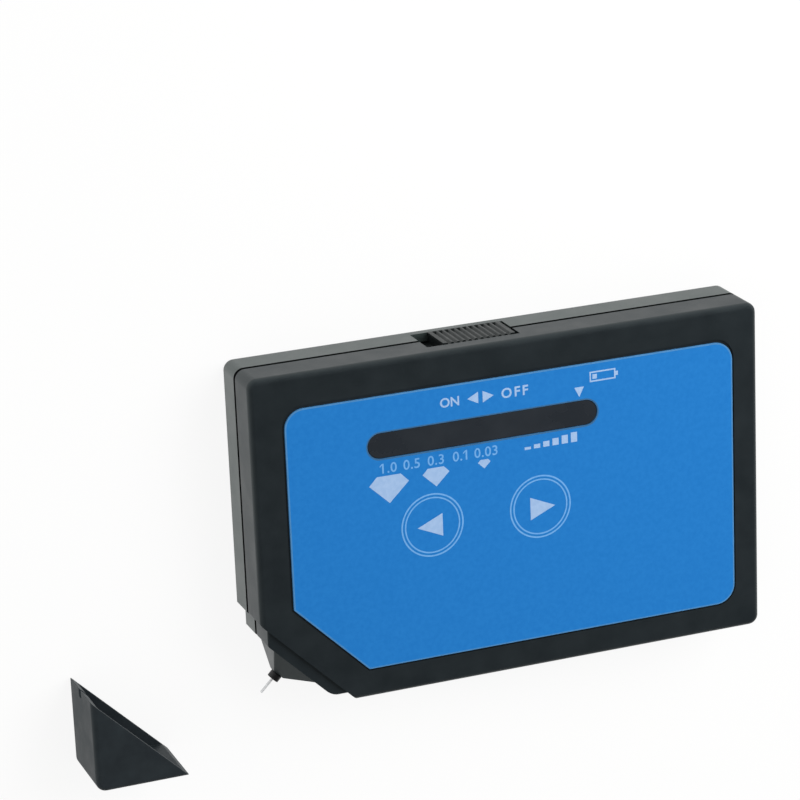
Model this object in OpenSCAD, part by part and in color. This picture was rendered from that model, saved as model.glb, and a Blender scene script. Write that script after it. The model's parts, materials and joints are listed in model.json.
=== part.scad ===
// Pocket diamond tester with a spring probe at one corner and a slip-on probe cap.
// It lies on its back: X along the case, Y towards the power slider, Z out of the front face.
// The origin is the centre of the case's back face. Millimetres.

/* [Case] */
// Length of the case
case_w = 100; // [98:1:116]
// Height of the case, from the plain edge to the slider edge
case_h = 64.3; // [64:0.1:76]
// Thickness of the side walls
wall = 1.6; // [1.4:0.1:1.8]
// Thickness of the front plate under the overlay
front_plate = 1.8; // [1.6:0.1:2.4]
// Thickness of the back and of the battery door
floor_t = 1.3; // [1.2:0.1:1.6]
// Radius of the case corners seen from the front
corner_r = 1.9; // [1.8:0.1:2.6]
// Rounding of the front rim
front_edge_r = 1.1; // [0.6:0.1:1.2]
// Rounding of the rear rim
rear_edge_r = 0.4; // [0.3:0.1:0.8]
// Height of the parting plane above the back
seam_z = 6.4; // [6.2:0.1:6.6]
// Width of the shadow gap between the shells
seam_gap = 0.9; // [0.5:0.1:1]
// Height of the locating tongue inside the shadow gap
tongue_h = 1.4; // [1.2:0.1:1.5]
// Leg of the cut corner that carries the probe
chamfer_leg = 17.75; // [16.6:0.05:19]

/* [Nose and probe] */
// How far the nose block stands out from the cut corner
block_out = 2.2; // [1.6:0.05:2.4]
// Rounding of the nose block's front side edges
block_edge_r = 0.4; // [0.3:0.1:1]
// Thickness of the wall behind the cut corner
nose_wall = 2.2; // [1.8:0.1:2.6]
// Half width of the snout at its root
snout_root_w = 5.7; // [5:0.1:6.6]
// Half depth of the snout at its root
snout_root_d = 4.1; // [3.8:0.1:4.8]
// Half width of the snout at its tip
snout_tip_w = 1.2; // [1.1:0.05:1.6]
// Half depth of the snout at its tip
snout_tip_d = 1; // [0.95:0.05:1.4]
// Length of the snout
snout_len = 3.4; // [2.8:0.1:3.6]
// Radius of the collar at the tip
collar_r = 1.15; // [0.95:0.05:1.4]
// Length of the collar
collar_len = 1.3; // [0.8:0.1:1.5]
// Radius of the probe needle
needle_r = 0.25; // [0.2:0.05:0.4]
// Travel of the needle when it is pressed on a stone
probe_travel = 1; // [0.6:0.1:1.4]
// Radius of the heated carriage behind the needle
carriage_r = 1.7; // [1.6:0.05:1.8]
// Length of the heated carriage
carriage_len = 5; // [4:0.5:6]

/* [Probe cap] */
// Thickness of the cap's side walls
cap_wall = 1.25; // [1.1:0.05:1.6]
// Thickness of the cap's front and rear walls
cap_face = 0.6; // [0.5:0.05:0.9]
// Clearance of the cap on the nose block
cap_clear = 0.12; // [0.08:0.02:0.2]
// Gap between the seated cap and the cut corner
cap_gap = 0.15; // [0.1:0.05:0.3]
// Distance along X from the seated cap to the place where it lies
cap_off_x = 32.5; // [26:0.1:36]
// Distance along Y from the seated cap to the place where it lies
cap_off_y = 8.7; // [0:0.1:12]

/* [Front panel] */
// Length of the overlay
panel_w = 88.7; // [84:0.1:90]
// Height of the overlay
panel_h = 52.6; // [50:0.1:54]
// Offset of the overlay's centre along X
panel_x = 0.5; // [0:0.1:1]
// Offset of the overlay's centre along Y
panel_y = -0.3; // [-0.6:0.1:0]
// Corner radius of the overlay
panel_r = 3.7; // [2:0.1:5]
// Leg of the overlay's cut corner
panel_leg = 14.2; // [13:0.1:16]
// Thickness of the overlay
overlay_t = 0.45; // [0.4:0.05:0.6]
// Depth of the recess that the overlay lies in
recess_t = 0.3; // [0.2:0.05:0.3]
// Gap round the overlay in its recess
panel_gap = 0.2; // [0.1:0.05:0.3]
// Offset of the window and of the keys' middle from the overlay's centre, along X
group_x = -6; // [-7:0.1:-5]
// Length of the light window
window_w = 45.1; // [42:0.1:46]
// Height of the light window
window_h = 4.75; // [4.4:0.05:5]
// Height of the window above the overlay's centre
window_y = 16.5; // [16:0.1:17]

/* [Keys] */
// Distance between the two keys
key_pitch = 21.4; // [20:0.1:23]
// Height of the keys above the overlay's centre
key_y = -0.25; // [-3:0.05:1]
// Radius of a key
key_r = 5.45; // [5:0.05:5.8]
// Radius of the plunger under a key
stem_r = 3.4; // [3:0.1:3.6]
// Travel of a key
key_travel = 0.4; // [0.3:0.05:0.5]

/* [Power slider] */
// Left end of the slider's opening
opening_x = -14.5; // [-16:0.1:-13]
// Length of the slider
slider_w = 14.2; // [13.4:0.1:15]
// Depth of the slider along the case's thickness
slider_d = 7.9; // [7.4:0.1:8.1]
// How far the ribs stand above the top edge
slider_proud = 0.15; // [0.1:0.05:0.4]
// Gap between the slider and the OFF end of its opening
slider_end_gap = 0.7; // [0.4:0.1:1]
// Travel of the slider from OFF to ON
slider_travel = 3; // [2.4:0.1:3.4]
// Spacing of the finger ribs
rib_pitch = 1.17; // [1:0.01:1.3]
// Depth of the grooves between the ribs
rib_depth = 0.4; // [0.3:0.05:0.7]
// Length of the ribs' plain end towards the back
rib_end = 0.35; // [0.2:0.05:0.6]

/* [Electronics] */
// Thickness of the circuit board
board_t = 1.2; // [1:0.1:1.4]
// Length of the posts between the front plate and the board
standoff = 3.6; // [3.6:0.1:4]
// Number of lights behind the window
led_count = 12; // [8:1:12]

/* [Batteries] */
// Diameter of a cell
cell_d = 10.5; // [10.3:0.1:10.8]
// Length of a cell
cell_len = 44.5; // [43.5:0.1:44.5]
// Length of a fitted battery spring
cell_spring_len = 4; // [3.5:0.1:4]
// Sideways space between neighbouring cells and walls
cell_space = 0.6; // [0.4:0.1:0.8]

/* [Hidden] */
$fn = 48;
far = 200;
// How far a cut runs past the face that it opens
past = 1;
// Bodies that slide past each other keep this apart
run_gap = 0.3;
// Pieces that are assembled together keep this apart
fit_gap = 0.05;
// Glued and soldered pieces keep this apart
bond_gap = 0.02;
// Overlap of shapes that are joined into one piece
eps = 0.1;
// Smallest radius of an inner corner
inner_r_min = 0.4;

x_left = -case_w / 2;
x_right = case_w / 2;
y_low = -case_h / 2;
y_top = case_h / 2;

// Depth of the case: door, cell and front plate, with the space between them
plate_z = floor_t + run_gap + cell_d + eps;
case_t = plate_z + front_plate;
rear_top = seam_z - seam_gap / 2;
front_low = seam_z + seam_gap / 2;
recess_z = case_t - recess_t;
tongue_t = 0.72;
tongue_in = wall - tongue_t;
tongue_gap = 0.15;

// Cells lie along Y against the right wall
cell_r = cell_d / 2;
cell_z = floor_t + run_gap + cell_r;
cell_pitch = cell_d + cell_space;
cell_x_right = x_right - wall - cell_space - cell_r;
cell_x_left = cell_x_right - cell_pitch;
contact_t = 0.4;
bay_half = (cell_len + cell_spring_len + 2 * contact_t) / 2;
bay_rib_t = 1;
bay_rib_gap = 1.2;
bay_rib_top = plate_z - bay_rib_gap;
partition_t = 1;
partition_x = cell_x_left - cell_r - cell_space - partition_t;
nub_r = 1.9;
nub_len = 1;
contact_w = 8.6;
contact_h = 8.4;
cell_wire_r = 0.35;
cell_spring_r = 3.2;
cell_spring_tip_r = 2.4;
cell_spring_turns = 4;

// Case screws, in posts that stand clear of the nose and of the battery bay
post_r = 2.3;
post_foot_r = 2.9;
post_in = wall + post_r - eps;
screw_r = 1;
screw_head_r = 1.9;
screw_head_t = 1.4;
screw_sink = 3;
screw_gap = 0.15;
screw_head_gap = 0.2;
screw_tip_gap = 0.4;
screw_short = 1.6;
drive_w = 2.4;
drive_t = 0.6;
drive_depth = 0.6;
screw_end = plate_z - screw_short;
post_nose_gap = 9;
post_bl_x = x_left + chamfer_leg + post_nose_gap;
post_right_x = partition_x - run_gap - post_foot_r;
POSTS = [
    [x_left + post_in, y_top - post_in],
    [post_right_x, y_top - post_in],
    [post_right_x, y_low + post_in],
    [post_bl_x, y_low + post_in]
];

// Battery door
door_x = partition_x + partition_t + run_gap;
door_in = 1.05;
door_half = bay_half - door_in;
door_tongue = 0.8;
door_tongue_t = 0.52;
door_lip_gap = 0.2;
door_tongue_z = floor_t - door_tongue_t;
door_lip_z = door_tongue_z - door_lip_gap;
tongue_door_gap = 2;
grip_count = 4;
grip_pitch = 2.2;
grip_w = 1;
grip_depth = 0.4;
grip_len = 12;
grip_x = door_x + 8;

// Circuit board
board_top = plate_z - standoff;
board_z = board_top - board_t;
board_gap = 1;
skirt_t = 0.8;
board_skirt_gap = 0.7;
board_post_gap = 0.6;
board_probe_gap = 0.8;
board_x0 = x_left + wall + board_gap;
board_x1 = partition_x - board_gap;
board_y0 = y_low + wall + board_gap;
board_y1 = y_top - wall - run_gap - skirt_t - board_skirt_gap;
board_screw_r = 0.75;
board_screw_head_r = 1.6;
board_screw_head_t = 1.1;
board_screw_gap = 0.15;
board_screw_tip_gap = 0.7;
boss_r = 2.2;
boss_in = 3.2;
boss_drop = 13;
boss_post_gap = 1.4;
boss_off = post_in + post_r + boss_post_gap + boss_r;
BOSSES = [
    [board_x0 + boss_in, board_y1 - boss_drop],
    [board_x1 - boss_in, y_top - boss_off],
    [board_x1 - boss_in, y_low + boss_off]
];

// Front panel group
win_x = panel_x + group_x;
win_y = panel_y + window_y;
keys_y = panel_y + key_y;
key_left_x = win_x - key_pitch / 2;
key_right_x = win_x + key_pitch / 2;
flange_t = 0.8;
flange_rim = 1;
baffle_side = 0.5;
baffle_edge = 0.75;
baffle_w = window_w + 2 * baffle_side;
baffle_h = window_h + 2 * baffle_edge;
cell_wall_x = 0.67;
cell_wall_y = 0.4;
led_pitch = (window_w - window_h) / led_count;
led_w = 2;
led_d = 1.25;
led_t = 0.8;
key_gap = 0.15;
stem_gap = 0.1;
key_pocket_z = recess_z - key_travel - run_gap;
stem_flange_rim = 1.2;
stem_flange_r = stem_r + stem_flange_rim;
stem_flange_t = 0.7;
stem_flange_z = plate_z - run_gap - stem_flange_t;
tact_w = 6;
tact_room = 1.9;
tact_t = standoff - tact_room;
button_r = 1.6;
button_spare = 0.2;
button_sunk = 0.7;
button_top = board_top + tact_t + key_travel + button_spare;
button_low = board_top + tact_t - button_sunk;
plunger_rim = 0.6;
plunger_r = button_r + plunger_rim;

// Power slider, at rest at the right end of its opening, a little behind the parting plane
opening_w = run_gap + slider_travel + slider_w + slider_end_gap;
slider_drop = 0.35;
slider_z0 = seam_z - slider_drop - slider_d / 2;
slider_back_gap = 0.15;
slider_front_gap = 0.5;
slider_x0 = opening_x + run_gap + slider_travel;
slider_mid = slider_x0 + slider_w / 2;
skirt_over = 0.4;
skirt_x0 = opening_x - skirt_over;
skirt_x1 = opening_x + opening_w + slider_travel + skirt_over;
skirt_floor_gap = 0.35;
skirt_plate_gap = 1.35;
skirt_z0 = floor_t + skirt_floor_gap;
skirt_z1 = plate_z - skirt_plate_gap;
skirt_y1 = y_top - wall - run_gap;
skirt_y0 = skirt_y1 - skirt_t;
rib_margin = 0.6;
rib_count = floor((slider_w - 2 * rib_margin) / rib_pitch);
rib_x0 = slider_x0 + (slider_w - rib_count * rib_pitch) / 2;
groove_top = 0.8;
groove_low = 0.2;
lever_w = 1.6;
lever_in = 1.5;
lever_gap = 0.1;
lever_end_gap = 0.4;
lever_tip = skirt_y0 + lever_in;
lever_foot_rim = 1;
lever_foot_gap = 0.5;
switch_ends = 3.5;
switch_len = lever_w + slider_travel + 2 * switch_ends;
switch_t = 3.4;
switch_wall = 0.7;
switch_in = 0.6;
switch_y1 = board_y1 - switch_in;
switch_d = 4.4;
switch_z = board_z - switch_t / 2;
switch_mid = slider_mid - slider_travel / 2;

// Nose and probe, in a frame at the middle of the cut corner: X outwards, Z up
probe_z = seam_z;
corner_u = chamfer_leg / sqrt(2);
block_in = cap_wall + cap_clear;
block_z = cap_face + cap_clear;
neck_r = 3.45;
seat_r = neck_r + fit_gap;
neck_flange_r = 4.5;
neck_flange_t = 1.2;
tube_wall = 1.05;
tube_r = carriage_r + fit_gap + tube_wall;
bore_r = carriage_r + fit_gap;
collar_stub_wall = 0.3;
tip_bore_r = needle_r + collar_stub_wall + 2 * fit_gap;
tip_u = block_out + snout_len;
collar_u = tip_u + collar_len;
collar_stub_len = 1.4;
cap_inner_r = max(corner_r - cap_wall, inner_r_min);
cap_inner_u = corner_u - (cap_wall + cap_inner_r) * sqrt(2) + cap_inner_r;
needle_u = cap_inner_u - run_gap;
notch_w = 1.2;
notch_depth = 1.1;
carriage_u = -run_gap;
spring_u = carriage_u - carriage_len;
probe_wire_r = 0.2;
probe_coil_gap = 0.15;
probe_spring_r = bore_r - probe_wire_r - probe_coil_gap;
probe_spring_turns = 6;
probe_spring_spare = 0.9;
probe_spring_len = 2 * probe_wire_r * (probe_spring_turns + 1) + probe_travel + probe_spring_spare;
needle_stock = 3;
plug_u = spring_u - probe_spring_len;
plug_len = 1.6;
plug_flange_t = 0.7;
tube_end_u = plug_u - plug_len;
probe_end_u = tube_end_u - plug_flange_t;
pin_r = 0.3;
pin_y = 0.85;
pin_z = board_z - pin_r - bond_gap;
pin_hold = 1.2;
pin_len = 5.5;

// Shapes that several pieces share

// Rectangle with round corners, drawn in its plane
module round_rect(w, h, r) {
    square([w, h - 2 * r], center = true);
    square([w - 2 * r, h], center = true);
    for (sx = [-1, 1], sy = [-1, 1]) {
        translate([sx * (w / 2 - r), sy * (h / 2 - r)]) circle(r);
    }
}

// Slot with fully round ends
module slot(w, h) {
    square([w - h, h], center = true);
    for (s = [-1, 1]) translate([s * (w - h) / 2, 0]) circle(h / 2);
}

// Outer half of a disc, which rounds an edge
module edge_round(r) {
    intersection() {
        circle(r);
        translate([-eps, -r]) square([r + eps, 2 * r]);
    }
}

// Half section of a slab whose outer edges are rounded by r0 below and r1 above
module rim(reach, z0, z1, r0, r1) {
    translate([0, z0 + r0]) square([reach, z1 - z0 - r0 - r1]);
    if (r0 > 0) {
        translate([0, z0]) square([reach - r0, r0 + eps]);
        translate([reach - r0, z0 + r0]) edge_round(r0);
    }
    if (r1 > 0) {
        translate([0, z1 - r1 - eps]) square([reach - r1, r1 + eps]);
        translate([reach - r1, z1 - r1]) edge_round(r1);
    }
}

module both_sides() {
    children();
    mirror([1, 0]) children();
}

// Slab of the case's outline with rounded rims
module case_slab(z0, z1, r0, r1) {
    ix = case_w / 2 - corner_r;
    iy = case_h / 2 - corner_r;
    for (sx = [-1, 1], sy = [-1, 1]) {
        translate([sx * ix, sy * iy, 0]) rotate_extrude() rim(corner_r, z0, z1, r0, r1);
    }
    translate([-ix, 0, 0]) rotate([90, 0, 90]) linear_extrude(2 * ix)
        both_sides() rim(case_h / 2, z0, z1, r0, r1);
    translate([0, iy, 0]) rotate([90, 0, 0]) linear_extrude(2 * iy)
        both_sides() rim(case_w / 2, z0, z1, r0, r1);
}

// Frame at the middle of the cut corner, on the probe's axis
module at_nose() {
    translate([x_left + chamfer_leg / 2, y_low + chamfer_leg / 2, probe_z]) rotate([0, 0, 225]) children();
}

// Everything outwards of the plane at distance u from the cut corner
module beyond(u) {
    at_nose() translate([u, -far / 2, -far / 2]) cube([far, far, far]);
}

// Cylinder along the probe from u0 to u1
module along_probe(u0, u1, r) {
    at_nose() translate([u0, 0, 0]) rotate([0, 90, 0]) cylinder(h = u1 - u0, r = r);
}

// Inside of the case at a given inset, up to the wall behind the nose
module hollow(inset, z0, z1) {
    difference() {
        translate([0, 0, z0]) linear_extrude(z1 - z0)
            round_rect(case_w - 2 * inset, case_h - 2 * inset, max(corner_r - inset, inner_r_min));
        beyond(-nose_wall);
    }
}

// Section of the nose block from one of its sides, rounded by r at the top
module block_section(z0, z1, r) {
    reach = 2 * chamfer_leg;
    translate([0, z0]) square([reach, z1 - z0 - r]);
    if (r > 0) {
        translate([r, z0]) square([reach - r, z1 - z0]);
        translate([r, z1 - r]) circle(r);
    }
}

// Part of the nose block between two heights, its upper side edges rounded by r
module nose_block(z0, z1, r) {
    reach = 2 * chamfer_leg;
    difference() {
        translate([x_left + block_in, y_low + block_in, 0]) intersection() {
            rotate([90, 0, 90]) linear_extrude(reach) block_section(z0, z1, r);
            translate([0, reach, 0]) rotate([90, 0, 0]) linear_extrude(reach) block_section(z0, z1, r);
        }
        beyond(block_out);
        at_nose() translate([-far - nose_wall, -far / 2, -far / 2]) cube([far, far, far]);
    }
}

// Opening of the power slider through the top edge
module slider_opening() {
    translate([opening_x, y_top - wall - past, slider_z0 - slider_back_gap])
        cube([opening_w, wall + 2 * past, slider_back_gap + slider_d + slider_front_gap]);
}

module at_posts() {
    for (p = POSTS) translate([p[0], p[1], 0]) children();
}

module at_bosses() {
    for (p = BOSSES) translate([p[0], p[1], 0]) children();
}

// Wire coil along Z, its radius going from r0 to r1
module coil(r0, r1, length, turns, wire) {
    rings = turns * 10;
    sides = 6;
    points = [
        for (i = [0 : rings], j = [0 : sides - 1])
            let (a = 360 * turns * i / rings, t = 360 * j / sides, r = r0 + (r1 - r0) * i / rings)
                [
                    (r + wire * cos(t)) * cos(a),
                    (r + wire * cos(t)) * sin(a),
                    wire + (length - 2 * wire) * i / rings + wire * sin(t)
                ]
    ];
    skin = [
        for (i = [0 : rings - 1], j = [0 : sides - 1])
            let (k = (j + 1) % sides, a = i * sides, b = a + sides)
                each [[a + j, b + j, b + k], [a + j, b + k, a + k]]
    ];
    ends = [
        for (j = [1 : sides - 2])
            each [[0, j, j + 1], [rings * sides, rings * sides + j + 1, rings * sides + j]]
    ];
    polyhedron(points = points, faces = concat(skin, ends));
}

// Case

module front_blank() {
    difference() {
        case_slab(front_low, case_t, 0, front_edge_r);
        beyond(0);
        hollow(wall, front_low - past, plate_z);
        hollow(tongue_in - eps, front_low - past, rear_top + tongue_h + tongue_gap);
    }
}

module front_shell() color("#26282b") {
    difference() {
        union() {
            front_blank();
            nose_block(front_low, case_t - block_z, block_edge_r);
            at_posts() translate([0, 0, rear_top]) cylinder(h = plate_z - rear_top + eps, r = post_r);
            at_bosses() translate([0, 0, board_top]) cylinder(h = standoff + eps, r = boss_r);
        }
        translate([panel_x, panel_y, recess_z]) linear_extrude(front_plate) panel_outline(panel_gap);
        translate([win_x, win_y, plate_z - past]) linear_extrude(front_plate + 2 * past)
            slot(window_w + 2 * fit_gap, window_h + 2 * fit_gap);
        for (x = [key_left_x, key_right_x]) translate([x, keys_y, 0]) {
            translate([0, 0, plate_z - past]) cylinder(h = front_plate + 2 * past, r = stem_r + stem_gap);
            translate([0, 0, key_pocket_z]) cylinder(h = front_plate, r = key_r + key_gap);
        }
        slider_opening();
        along_probe(-nose_wall - past, block_out + past, seat_r);
        at_posts() translate([0, 0, rear_top - past])
            cylinder(h = screw_end + screw_tip_gap - rear_top + past, r = screw_r + fit_gap);
        at_bosses() translate([0, 0, board_top - past])
            cylinder(h = past + standoff, r = board_screw_r + fit_gap);
    }
}

// Outline of the overlay, grown by a margin
module panel_outline(grow) {
    difference() {
        round_rect(panel_w + 2 * grow, panel_h + 2 * grow, panel_r + grow);
        translate([-panel_w / 2, -panel_h / 2]) rotate(45)
            translate([-far / 2 + panel_leg / sqrt(2) - grow, -far / 2]) square([far / 2, far]);
    }
}

module rear_blank() {
    difference() {
        case_slab(0, rear_top, rear_edge_r, 0);
        beyond(0);
        hollow(wall, floor_t, rear_top + past);
    }
}

// Tongue that locates the shells, broken at the slider, the posts and the battery door
module shell_tongue() {
    difference() {
        hollow(tongue_in, rear_top - eps, rear_top + tongue_h);
        hollow(wall, rear_top - past, rear_top + tongue_h + past);
        translate([skirt_x0 - slider_travel - past, 0, 0])
            cube([skirt_x1 - skirt_x0 + slider_travel + 2 * past, far, far]);
        at_posts() cylinder(h = case_t, r = post_r + run_gap);
        translate([0, -door_half - tongue_door_gap, 0]) cube([far, 2 * (door_half + tongue_door_gap), far]);
        beyond(-nose_wall - wall);
    }
}

// Space that the battery door fills, grown by a gap
module door_space(gap) {
    across = 2 * (door_half + gap);
    translate([door_x - gap, -across / 2, -past]) cube([far, across, past + floor_t]);
    translate([x_right - wall, -across / 2, -past]) cube([far, across, rear_top + 2 * past]);
}

// Side tongues of the door, grown by a gap
module door_tongues(gap) {
    over = door_half + door_tongue + gap;
    z0 = gap > 0 ? door_lip_z : door_tongue_z;
    z1 = gap > 0 ? floor_t + past : floor_t;
    translate([door_x - gap, -over, z0]) cube([x_right - door_x + 2 * gap, 2 * over, z1 - z0]);
}

module rear_shell() color("#2c2e31") {
    difference() {
        union() {
            difference() {
                rear_blank();
                door_space(run_gap);
                door_tongues(run_gap);
            }
            nose_block(block_z, rear_top, 0);
            shell_tongue();
            at_posts() translate([0, 0, floor_t - eps])
                cylinder(h = rear_top - floor_t + eps, r = post_foot_r);
            at_posts() translate([0, 0, rear_edge_r]) cylinder(h = rear_top - rear_edge_r, r = post_r);
            for (s = [-1, 1]) {
                y = s > 0 ? bay_half : -bay_half - bay_rib_t;
                translate([partition_x, y, floor_t - eps])
                    cube([x_right - wall - fit_gap - partition_x, bay_rib_t, bay_rib_top - floor_t + eps]);
            }
            translate([partition_x, -bay_half - eps, floor_t - eps])
                cube([partition_t, 2 * (bay_half + eps), rear_top - floor_t]);
        }
        slider_opening();
        along_probe(-nose_wall - past, block_out + past, seat_r);
        at_posts() translate([0, 0, -past]) {
            cylinder(h = rear_top + 2 * past, r = screw_r + screw_gap);
            cylinder(h = screw_sink + past, r = screw_head_r + screw_head_gap);
        }
    }
}

module case_screws() color("#8d9094") {
    at_posts() {
        translate([0, 0, screw_sink - eps]) cylinder(h = screw_end - screw_sink + eps, r = screw_r);
        difference() {
            translate([0, 0, screw_sink - screw_head_t]) cylinder(h = screw_head_t, r = screw_head_r);
            for (a = [0, 90]) rotate(a) translate([0, 0, screw_sink - screw_head_t])
                cube([drive_w, drive_t, 2 * drive_depth], center = true);
        }
    }
}

// Front panel

module panel_overlay() color("#2a7cc9") {
    translate([0, 0, recess_z]) linear_extrude(overlay_t) difference() {
        translate([panel_x, panel_y]) panel_outline(0);
        translate([win_x, win_y]) slot(window_w + 2 * fit_gap, window_h + 2 * fit_gap);
        for (x = [key_left_x, key_right_x]) translate([x, keys_y]) circle(key_r + key_gap);
    }
}

module led_window() color("#1c1a1b") {
    translate([win_x, win_y, plate_z - flange_t]) linear_extrude(flange_t)
        slot(window_w + 2 * flange_rim, window_h + 2 * flange_rim);
    translate([win_x, win_y, plate_z - eps]) linear_extrude(case_t - plate_z + eps)
        slot(window_w, window_h);
}

module led_baffle() color("#e8e8e4") {
    hole_w = led_pitch - cell_wall_x;
    hole_h = window_h - 2 * cell_wall_y;
    difference() {
        translate([win_x - baffle_w / 2, win_y - baffle_h / 2, board_top])
            cube([baffle_w, baffle_h, plate_z - flange_t - board_top]);
        for (i = [0 : led_count - 1])
            translate([led_x(i) - hole_w / 2, win_y - hole_h / 2, board_top - past])
                cube([hole_w, hole_h, standoff + past]);
    }
}

function led_x(i) = win_x + (i - (led_count - 1) / 2) * led_pitch;

module led_row() color("#f2e2a0") {
    for (i = [0 : led_count - 1])
        translate([led_x(i) - led_w / 2, win_y - led_d / 2, board_top]) cube([led_w, led_d, led_t]);
}

// Keys, each with its cap, plunger and switch button

module key_cap(x) color("#2a7cc9") {
    translate([x, keys_y, recess_z]) cylinder(h = overlay_t, r = key_r);
}

module key_stem(x) color("#202224") {
    translate([x, keys_y, stem_flange_z]) {
        cylinder(h = stem_flange_t, r = stem_flange_r);
        cylinder(h = recess_z - stem_flange_z, r = stem_r);
    }
    translate([x, keys_y, button_top]) cylinder(h = stem_flange_z - button_top + eps, r = plunger_r);
}

module switch_button(x) color("#101112") {
    translate([x, keys_y, button_low]) cylinder(h = button_top - button_low, r = button_r);
}

module left_key_cap() { key_cap(key_left_x); }
module right_key_cap() { key_cap(key_right_x); }
module left_key_stem() { key_stem(key_left_x); }
module right_key_stem() { key_stem(key_right_x); }
module left_switch_button() { switch_button(key_left_x); }
module right_switch_button() { switch_button(key_right_x); }

module tact_switch_cases() color("#b9bcc0") {
    for (x = [key_left_x, key_right_x]) translate([x, keys_y, board_top]) difference() {
        translate([-tact_w / 2, -tact_w / 2, 0]) cube([tact_w, tact_w, tact_t]);
        translate([0, 0, tact_t - button_sunk - key_travel - run_gap])
            cylinder(h = tact_t, r = button_r + fit_gap);
    }
}

// Electronics

module circuit_board() color("#1f6b3a") {
    difference() {
        translate([board_x0, board_y0, board_z]) cube([board_x1 - board_x0, board_y1 - board_y0, board_t]);
        beyond(probe_end_u - board_probe_gap);
        at_posts() cylinder(h = case_t, r = post_r + board_post_gap);
        at_bosses() cylinder(h = case_t, r = board_screw_r + board_screw_gap);
    }
}

// Controller and a few passive parts in the free field left of the keys
module board_parts() color("#17181a") {
    chip = [7, 5, 1.5];
    passive = [2, 1.2, 0.7];
    field = [board_x0 + 6, keys_y + 2, board_top];
    passive_pitch = 2.8;
    passive_drop = 3.5;
    translate(field) cube(chip);
    for (i = [0 : 2]) translate(field + [i * passive_pitch, -passive_drop, 0]) cube(passive);
}

module board_screws() color("#8d9094") {
    at_bosses() {
        translate([0, 0, board_z - board_screw_head_t])
            cylinder(h = board_screw_head_t, r = board_screw_head_r);
        translate([0, 0, board_z - eps])
            cylinder(h = board_t + standoff + eps - board_screw_tip_gap, r = board_screw_r);
    }
}

module slide_switch_case() color("#b9bcc0") {
    slot_half = (lever_w + slider_travel) / 2 + lever_end_gap;
    slot_low = switch_z - lever_w / 2 - lever_gap;
    difference() {
        translate([switch_mid - switch_len / 2, switch_y1 - switch_d, board_z - switch_t])
            cube([switch_len, switch_d, switch_t]);
        translate([switch_mid - switch_len / 2 + switch_wall, switch_y1 - switch_d + switch_wall,
                board_z - switch_t + switch_wall])
            cube([switch_len - 2 * switch_wall, switch_d - 2 * switch_wall, switch_t - 2 * switch_wall]);
        translate([switch_mid - slot_half, switch_y1 - switch_wall - past, slot_low])
            cube([2 * slot_half, switch_wall + 2 * past, lever_w + 2 * lever_gap]);
    }
}

module slide_switch_lever() color("#e8e8e4") {
    foot_w = lever_w + 2 * lever_foot_rim;
    foot_d = switch_d - 2 * (switch_wall + lever_foot_gap);
    foot_y = switch_y1 - switch_d + switch_wall + lever_foot_gap;
    translate([slider_mid - foot_w / 2, foot_y, switch_z - lever_w / 2]) cube([foot_w, foot_d, lever_w]);
    translate([slider_mid - lever_w / 2, foot_y, switch_z - lever_w / 2])
        cube([lever_w, lever_tip - foot_y, lever_w]);
}

// Ribbed finger slider with a skirt behind the top edge
module power_slider() color("#2b2d30") {
    top = y_top + slider_proud;
    top_half = rib_pitch * groove_top / 2;
    low_half = rib_pitch * groove_low / 2;
    difference() {
        union() {
            translate([slider_x0, skirt_y0, slider_z0])
                cube([slider_w, top - skirt_y0, slider_d]);
            translate([skirt_x0, skirt_y0, skirt_z0])
                cube([skirt_x1 - skirt_x0, skirt_t, skirt_z1 - skirt_z0]);
        }
        for (i = [0 : rib_count - 1])
            translate([rib_x0 + (i + 0.5) * rib_pitch, 0, slider_z0 + rib_end]) linear_extrude(slider_d)
                polygon([
                    [-top_half, top + eps], [-low_half, top - rib_depth],
                    [low_half, top - rib_depth], [top_half, top + eps]
                ]);
        translate([slider_mid - lever_w / 2 - fit_gap, skirt_y0 - past, switch_z - lever_w / 2 - fit_gap])
            cube([lever_w + 2 * fit_gap, lever_in + past + fit_gap, lever_w + 2 * fit_gap]);
    }
}

// Probe

module probe_nose() color("#2a2c2f") {
    difference() {
        union() {
            at_nose() intersection() {
                translate([0, 0, -far / 2]) linear_extrude(far) polygon([
                    [block_out, -snout_root_w], [tip_u, -snout_tip_w],
                    [tip_u, snout_tip_w], [block_out, snout_root_w]
                ]);
                rotate([90, 0, 0]) translate([0, 0, -far / 2]) linear_extrude(far) polygon([
                    [block_out, -snout_root_d], [tip_u, -snout_tip_d],
                    [tip_u, snout_tip_d], [block_out, snout_root_d]
                ]);
            }
            along_probe(-nose_wall - fit_gap - eps, block_out + eps, neck_r);
            along_probe(-nose_wall - fit_gap - neck_flange_t, -nose_wall - fit_gap, neck_flange_r);
            along_probe(tube_end_u, -nose_wall, tube_r);
        }
        along_probe(-eps, tip_u + past, tip_bore_r);
        along_probe(tube_end_u - past, 0, bore_r);
    }
}

module probe_collar() color("#151617") {
    difference() {
        union() {
            along_probe(tip_u, collar_u, collar_r);
            along_probe(tip_u - collar_stub_len, tip_u + eps, tip_bore_r - fit_gap);
        }
        along_probe(tip_u - collar_stub_len - past, collar_u + past, needle_r + fit_gap);
    }
}

module probe_needle() color("#d5d8da") {
    along_probe(carriage_u - needle_stock, needle_u - needle_r, needle_r);
    at_nose() translate([needle_u - needle_r, 0, 0]) sphere(needle_r);
}

module probe_heater() color("#b87345") {
    difference() {
        along_probe(spring_u, carriage_u, carriage_r);
        along_probe(carriage_u - needle_stock - eps, carriage_u + past, needle_r + bond_gap);
    }
}

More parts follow.
